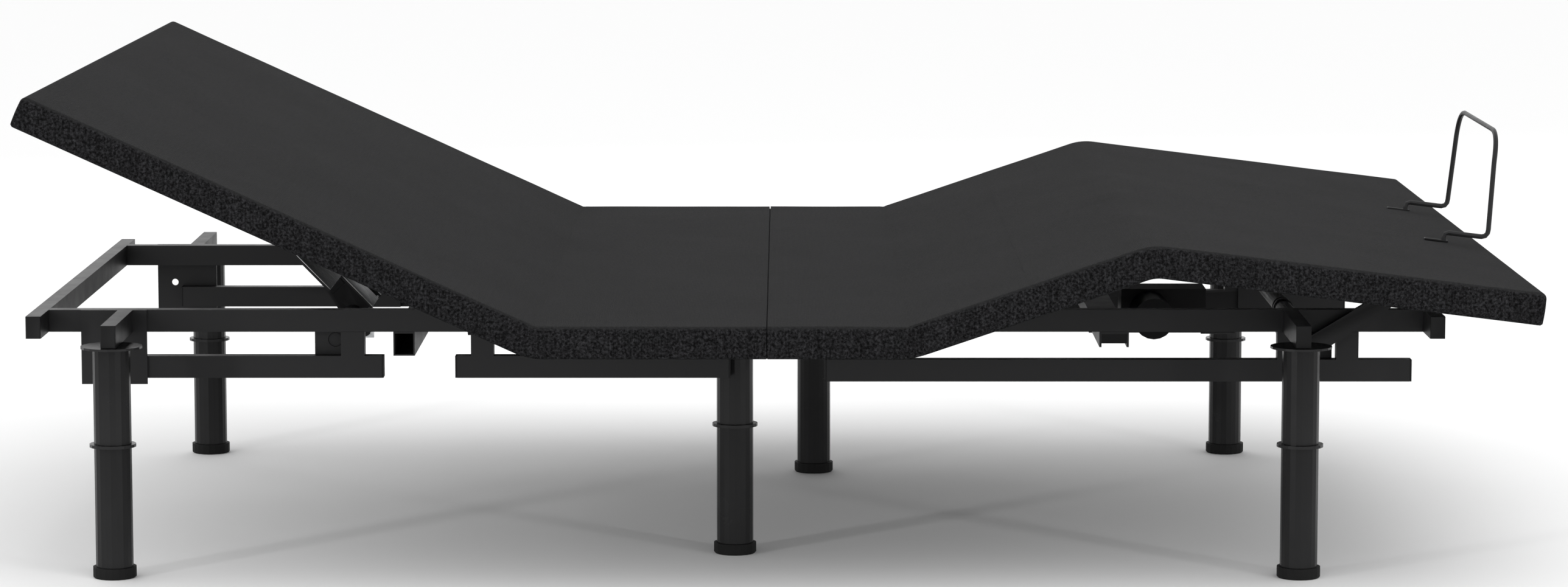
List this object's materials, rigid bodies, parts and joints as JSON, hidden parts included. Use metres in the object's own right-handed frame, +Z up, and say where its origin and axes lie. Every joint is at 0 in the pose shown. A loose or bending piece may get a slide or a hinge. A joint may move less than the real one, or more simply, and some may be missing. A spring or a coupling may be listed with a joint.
{
  "type": "adjustable bed base",
  "caption": "Adjustable bed base: padded folding deck with a raising back section and bending leg sections, on a black steel frame with round legs and a bent-rod mattress retainer.",
  "frame": {"origin": "on the floor, under the middle of the object as posed, on its lengthwise centre line", "axes": "+X from the head end to the foot end, +Z up, +Y across to the side that the diagonal pair of middle legs has at its foot end"},
  "size_m": [2.0118, 1.524, 0.6595],
  "materials": {
    "deck_fabric": "fine charcoal weave",
    "board": "dark dust cover over board",
    "black_coat": "satin black powder coat",
    "black_plastic": "fine grain",
    "zinc_plate": "zinc plate"
  },
  "bodies": {
    "frame": {"head_rail_near": "black_coat", "head_rail_far": "black_coat", "foot_rail_near": "black_coat", "foot_rail_far": "black_coat", "head_cross_tube": "black_coat", "foot_cross_tube": "black_coat", "head_middle_cross_tube": "black_coat", "foot_middle_cross_tube": "black_coat", "head_low_cross_tube": "black_coat", "foot_channel": "black_coat", "head_lower_tube_near_front": "black_coat", "head_lower_tube_near_rear": "black_coat", "head_lower_tube_far": "black_coat", "foot_lower_tube_near": "black_coat", "foot_lower_tube_far": "black_coat", "leg_arm_head_near": "black_coat", "leg_arm_head_far": "black_coat", "leg_arm_foot_near": "black_coat", "leg_arm_foot_far": "black_coat", "leg_upper_head_near": "black_coat", "leg_lower_head_near": "black_coat", "glide_head_near": "black_plastic", "leg_upper_head_far": "black_coat", "leg_lower_head_far": "black_coat", "glide_head_far": "black_plastic", "leg_upper_foot_near": "black_coat", "leg_lower_foot_near": "black_coat", "glide_foot_near": "black_plastic", "leg_upper_foot_far": "black_coat", "leg_lower_foot_far": "black_coat", "glide_foot_far": "black_plastic", "leg_upper_middle_near": "black_coat", "leg_lower_middle_near": "black_coat", "glide_middle_near": "black_plastic", "leg_upper_middle_far": "black_coat", "leg_lower_middle_far": "black_coat", "glide_middle_far": "black_plastic", "seat_head_cover": "deck_fabric", "seat_head_board": "board", "seat_foot_cover": "deck_fabric", "seat_foot_board": "board", "head_actuator": "black_plastic", "foot_actuator": "black_plastic", "control_box": "black_plastic"},
    "back": {"back_cover": "deck_fabric", "back_board": "board"},
    "thigh": {"thigh_cover": "deck_fabric", "thigh_board": "board"},
    "calf": {"calf_cover": "deck_fabric", "calf_board": "board", "mattress_retainer": "black_coat", "calf_lug_near": "black_coat", "calf_lug_far": "black_coat"},
    "head_lift": {"head_lift_frame": "black_coat"},
    "head_rollers": {"head_roller_near": "black_plastic", "head_roller_far": "black_plastic"},
    "foot_lift": {"foot_lift_frame": "black_coat"},
    "head_rod": {"head_actuator_rod": "zinc_plate"},
    "foot_rod": {"foot_actuator_rod": "zinc_plate"}
  },
  "joints": [
    {"name": "back_tilt", "type": "hinge", "parent": "frame", "child": "back", "pos_m": [-0.31, 0, 0.363], "axis": [0, 1, 0], "range_deg": [-24.5, 35.5]},
    {"name": "thigh_tilt", "type": "hinge", "parent": "frame", "child": "thigh", "pos_m": [0.167, 0, 0.363], "axis": [0, -1, 0], "range_deg": [-18.7, 16.3]},
    {"name": "knee_bend", "type": "hinge", "parent": "thigh", "child": "calf", "pos_m": [0.4819, 0, 0.44636], "axis": [0, 1, 0], "range_deg": [-25.8, 22.49]},
    {"name": "head_lift_turn", "type": "hinge", "parent": "frame", "child": "head_lift", "pos_m": [-0.6, 0, 0.298], "axis": [0, 1, 0], "range_deg": [-51.73, 74.96]},
    {"name": "head_roller_spin", "type": "hinge", "parent": "head_lift", "child": "head_rollers", "pos_m": [-0.73641, 0, 0.51546], "axis": [0, 1, 0], "continuous": true},
    {"name": "foot_lift_turn", "type": "hinge", "parent": "frame", "child": "foot_lift", "pos_m": [0.725, 0, 0.295], "axis": [0, -1, 0], "range_deg": [-30.44, 26.54]},
    {"name": "head_rod_slide", "type": "slide", "parent": "frame", "child": "head_rod", "axis": [-1, 0, 0], "range_m": [-0.02841, 0.04116]},
    {"name": "foot_rod_slide", "type": "slide", "parent": "frame", "child": "foot_rod", "axis": [1, 0, 0], "range_m": [-0.01395, 0.01216]}
  ],
  "couplings": [
    {"joint": "knee_bend", "follows": "thigh_tilt", "ratio": 1.3797},
    {"joint": "head_lift_turn", "follows": "back_tilt", "ratio": 2.1115},
    {"joint": "foot_lift_turn", "follows": "thigh_tilt", "ratio": 1.628},
    {"joint": "head_rod_slide", "follows": "back_tilt", "m_per_rad": 0.06643},
    {"joint": "foot_rod_slide", "follows": "thigh_tilt", "m_per_rad": 0.04273}
  ]
}
